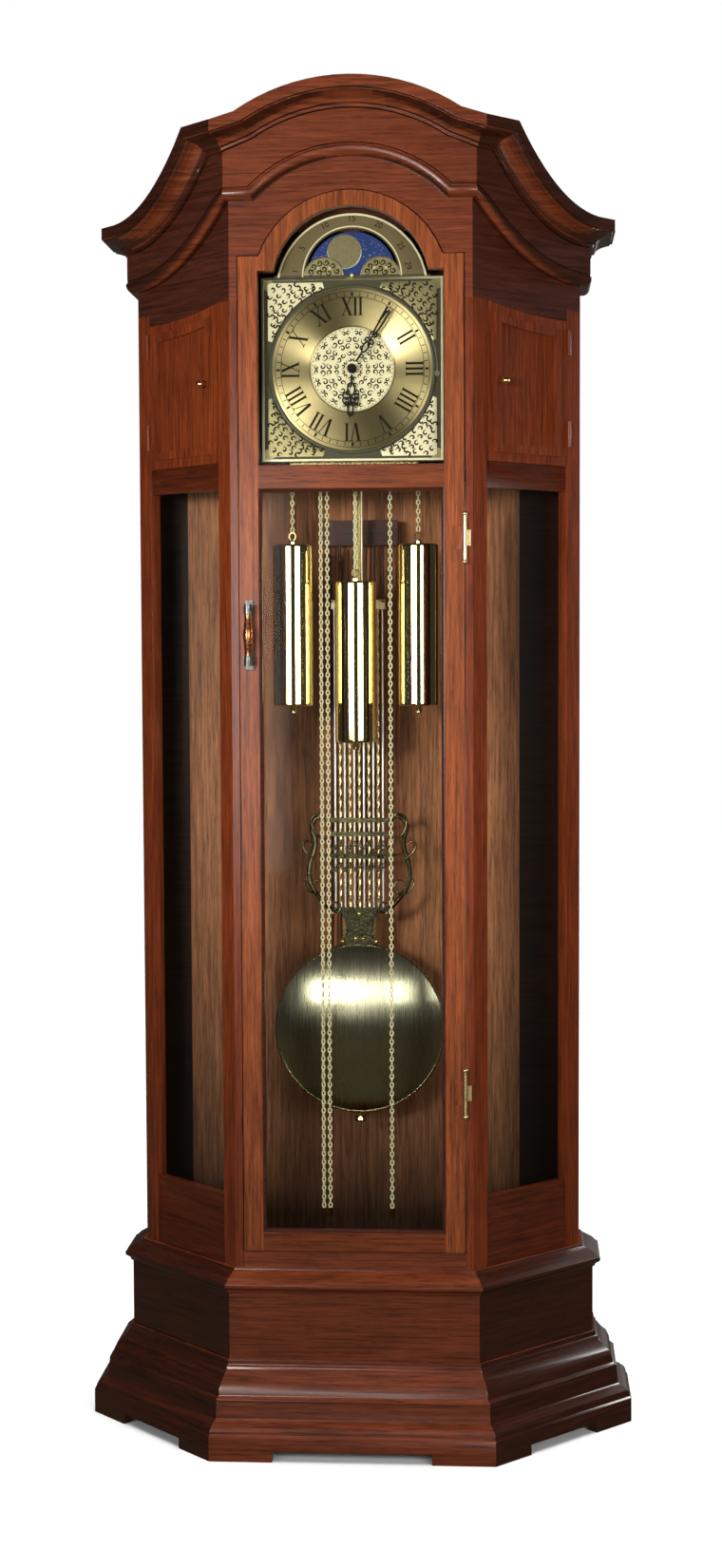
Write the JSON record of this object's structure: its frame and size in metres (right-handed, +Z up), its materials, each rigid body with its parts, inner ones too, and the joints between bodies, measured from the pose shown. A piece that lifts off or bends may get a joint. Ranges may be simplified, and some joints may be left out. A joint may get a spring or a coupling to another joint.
{
  "type": "longcase clock",
  "caption": "Tall floor clock with canted glazed sides, arched hood and door, moon dial, lyre gridiron pendulum and brass weights on chains.",
  "frame": {"origin": "middle of the footprint on the floor", "axes": "+Z up, the dial faces -Y, +X to the viewer's right"},
  "size_m": [0.866, 0.339, 2.08],
  "materials": {
    "wood_upright": "satin lacquer, upright grain",
    "wood_level": "satin lacquer, level grain",
    "wood_inside": "thin lacquer",
    "glass": "clear",
    "old_brass": "antique",
    "dial_gold": "brushed",
    "hand_black": "satin",
    "moon_blue": "satin",
    "movement_brass": "brushed",
    "steel": "brushed",
    "polished_brass": "polished",
    "chain_brass": "polished"
  },
  "bodies": {
    "case": {"astragals": "wood_level", "back_panel": "wood_inside", "base_panels": "wood_level", "base_top": "wood_level", "chapter_ring": "dial_gold", "chimes": "steel", "cornices": "wood_level", "dial_plate": "dial_gold", "dial_trim": "dial_gold", "dust_board": "wood_inside", "frieze_left": "wood_level", "frieze_right": "wood_level", "hinge_barrels": "old_brass", "hood_header": "wood_upright", "movement_frame": "movement_brass", "plinth_mouldings": "wood_level", "seat_board": "wood_inside", "side_frame_left": "wood_upright", "side_frame_right": "wood_upright", "side_glasses": "glass", "sill_rail": "wood_level", "skirt_and_feet": "wood_level"},
    "door": {"door_frame": "wood_upright", "door_glasses": "glass", "door_handle": "old_brass"},
    "access_left": {"access_door_left": "wood_upright"},
    "access_right": {"access_door_right": "wood_upright"},
    "centre_arbor": {"centre_wheel": "movement_brass", "minute_hand": "hand_black"},
    "hour_pipe": {"hour_wheel": "movement_brass", "hour_hand": "hand_black"},
    "minute_arbor": {"minute_wheel": "movement_brass"},
    "moon": {"moon_dial": "moon_blue"},
    "great_arbor": {"great_wheel": "movement_brass"},
    "second_arbor": {"second_wheel": "movement_brass"},
    "third_arbor": {"third_wheel": "movement_brass"},
    "escape_arbor": {"escape_wheel": "movement_brass"},
    "anchor": {"anchor_crutch": "steel"},
    "pendulum": {"pendulum_rod": "polished_brass", "grid_rods": "polished_brass", "grid_bars": "polished_brass", "bob": "polished_brass"},
    "regulating_nut": {"rating_nut": "polished_brass"},
    "selector": {"chime_selector": "dial_gold"},
    "weight_left": {"weight_left": "polished_brass", "chain_weight_left": "chain_brass"},
    "free_end_left": {"free_ring_left": "chain_brass", "chain_free_left": "chain_brass"},
    "sprocket_left": {"sprocket_left": "movement_brass"},
    "weight_middle": {"weight_middle": "polished_brass", "chain_weight_middle": "chain_brass"},
    "free_end_middle": {"free_ring_middle": "chain_brass", "chain_free_middle": "chain_brass"},
    "sprocket_middle": {"sprocket_middle": "movement_brass"},
    "weight_right": {"weight_right": "polished_brass", "chain_weight_right": "chain_brass"},
    "free_end_right": {"free_ring_right": "chain_brass", "chain_free_right": "chain_brass"},
    "sprocket_right": {"sprocket_right": "movement_brass"}
  },
  "joints": [
    {"name": "front_door_hinge", "type": "hinge", "parent": "case", "child": "door", "pos_m": [0.17175, -0.0938, 0.9], "axis": [0, 0, 1], "range_deg": [0, 105]},
    {"name": "access_left_hinge", "type": "hinge", "parent": "case", "child": "access_left", "pos_m": [-0.33243, 0.0591, 1.64], "axis": [0, 0, -1], "range_deg": [0, 100]},
    {"name": "access_right_hinge", "type": "hinge", "parent": "case", "child": "access_right", "pos_m": [0.33243, 0.0591, 1.64], "axis": [0, 0, 1], "range_deg": [0, 100]},
    {"name": "minute_turn", "type": "hinge", "parent": "case", "child": "centre_arbor", "pos_m": [0, -0.0015, 1.659], "axis": [0, 1, 0], "continuous": true},
    {"name": "hour_turn", "type": "hinge", "parent": "case", "child": "hour_pipe", "pos_m": [0, -0.0015, 1.659], "axis": [0, 1, 0], "continuous": true},
    {"name": "minute_wheel_turn", "type": "hinge", "parent": "case", "child": "minute_arbor", "pos_m": [0.0284, -0.0015, 1.659], "axis": [0, 1, 0], "continuous": true},
    {"name": "moon_turn", "type": "hinge", "parent": "case", "child": "moon", "pos_m": [0, -0.0015, 1.799], "axis": [0, 1, 0], "continuous": true},
    {"name": "great_turn", "type": "hinge", "parent": "case", "child": "great_arbor", "pos_m": [-0.022, -0.0015, 1.56], "axis": [0, 1, 0], "continuous": true},
    {"name": "second_turn", "type": "hinge", "parent": "case", "child": "second_arbor", "pos_m": [-0.02282, -0.0015, 1.61406], "axis": [0, 1, 0], "continuous": true},
    {"name": "third_turn", "type": "hinge", "parent": "case", "child": "third_arbor", "pos_m": [0.02766, -0.0015, 1.686], "axis": [0, 1, 0], "continuous": true},
    {"name": "escape_turn", "type": "hinge", "parent": "case", "child": "escape_arbor", "pos_m": [0, -0.0015, 1.7], "axis": [0, 1, 0], "continuous": true},
    {"name": "pendulum_swing", "type": "hinge", "parent": "case", "child": "pendulum", "pos_m": [0, 0.0635, 1.728], "axis": [0, 1, 0], "range_deg": [-2.5, 2.5]},
    {"name": "anchor_rock", "type": "hinge", "parent": "case", "child": "anchor", "pos_m": [0, 0.0135, 1.728], "axis": [0, 1, 0], "range_deg": [-2.5, 2.5]},
    {"name": "rating_turn", "type": "hinge", "parent": "pendulum", "child": "regulating_nut", "pos_m": [0, 0.0635, 0.48], "axis": [0, 0, 1], "continuous": true},
    {"name": "selector_turn", "type": "hinge", "parent": "case", "child": "selector", "pos_m": [0, -0.0495, 1.659], "axis": [0, 1, 0], "range_deg": [-8, 8]},
    {"name": "weight_left_drop", "type": "slide", "parent": "case", "child": "weight_left", "axis": [0, 0, 1], "range_m": [-0.75, 0.05], "deforming": ["chain_weight_left"]},
    {"name": "free_left_rise", "type": "slide", "parent": "case", "child": "free_end_left", "axis": [0, 0, 1], "range_m": [-0.05, 0.75], "deforming": ["chain_free_left"]},
    {"name": "sprocket_left_turn", "type": "hinge", "parent": "case", "child": "sprocket_left", "pos_m": [-0.076, -0.0015, 1.56], "axis": [0, 1, 0], "range_deg": [-2000, 2000]},
    {"name": "weight_middle_drop", "type": "slide", "parent": "case", "child": "weight_middle", "axis": [0, 0, 1], "range_m": [-0.75, 0.05], "deforming": ["chain_weight_middle"]},
    {"name": "free_middle_rise", "type": "slide", "parent": "case", "child": "free_end_middle", "axis": [0, 0, 1], "range_m": [-0.05, 0.75], "deforming": ["chain_free_middle"]},
    {"name": "sprocket_middle_turn", "type": "hinge", "parent": "case", "child": "sprocket_middle", "pos_m": [-0.022, -0.0015, 1.56], "axis": [0, 1, 0], "range_deg": [-2000, 2000]},
    {"name": "weight_right_drop", "type": "slide", "parent": "case", "child": "weight_right", "axis": [0, 0, 1], "range_m": [-0.75, 0.05], "deforming": ["chain_weight_right"]},
    {"name": "free_right_rise", "type": "slide", "parent": "case", "child": "free_end_right", "axis": [0, 0, 1], "range_m": [-0.05, 0.75], "deforming": ["chain_free_right"]},
    {"name": "sprocket_right_turn", "type": "hinge", "parent": "case", "child": "sprocket_right", "pos_m": [0.076, -0.0015, 1.56], "axis": [0, 1, 0], "range_deg": [-2000, 2000]}
  ],
  "couplings": [
    {"joint": "hour_turn", "follows": "minute_turn", "ratio": 0.083333},
    {"joint": "minute_wheel_turn", "follows": "minute_turn", "ratio": -0.33333},
    {"joint": "moon_turn", "follows": "minute_turn", "ratio": 0.00070621},
    {"joint": "great_turn", "follows": "minute_turn", "ratio": 0.041667},
    {"joint": "second_turn", "follows": "minute_turn", "ratio": -0.25},
    {"joint": "third_turn", "follows": "minute_turn", "ratio": -8},
    {"joint": "escape_turn", "follows": "minute_turn", "ratio": 60},
    {"joint": "anchor_rock", "follows": "pendulum_swing", "ratio": 1},
    {"joint": "free_left_rise", "follows": "weight_left_drop", "ratio": -1},
    {"joint": "sprocket_left_turn", "follows": "weight_left_drop", "rad_per_m": 45.455},
    {"joint": "free_middle_rise", "follows": "weight_middle_drop", "ratio": -1},
    {"joint": "sprocket_middle_turn", "follows": "weight_middle_drop", "rad_per_m": -45.455},
    {"joint": "free_right_rise", "follows": "weight_right_drop", "ratio": -1},
    {"joint": "sprocket_right_turn", "follows": "weight_right_drop", "rad_per_m": -45.455}
  ]
}
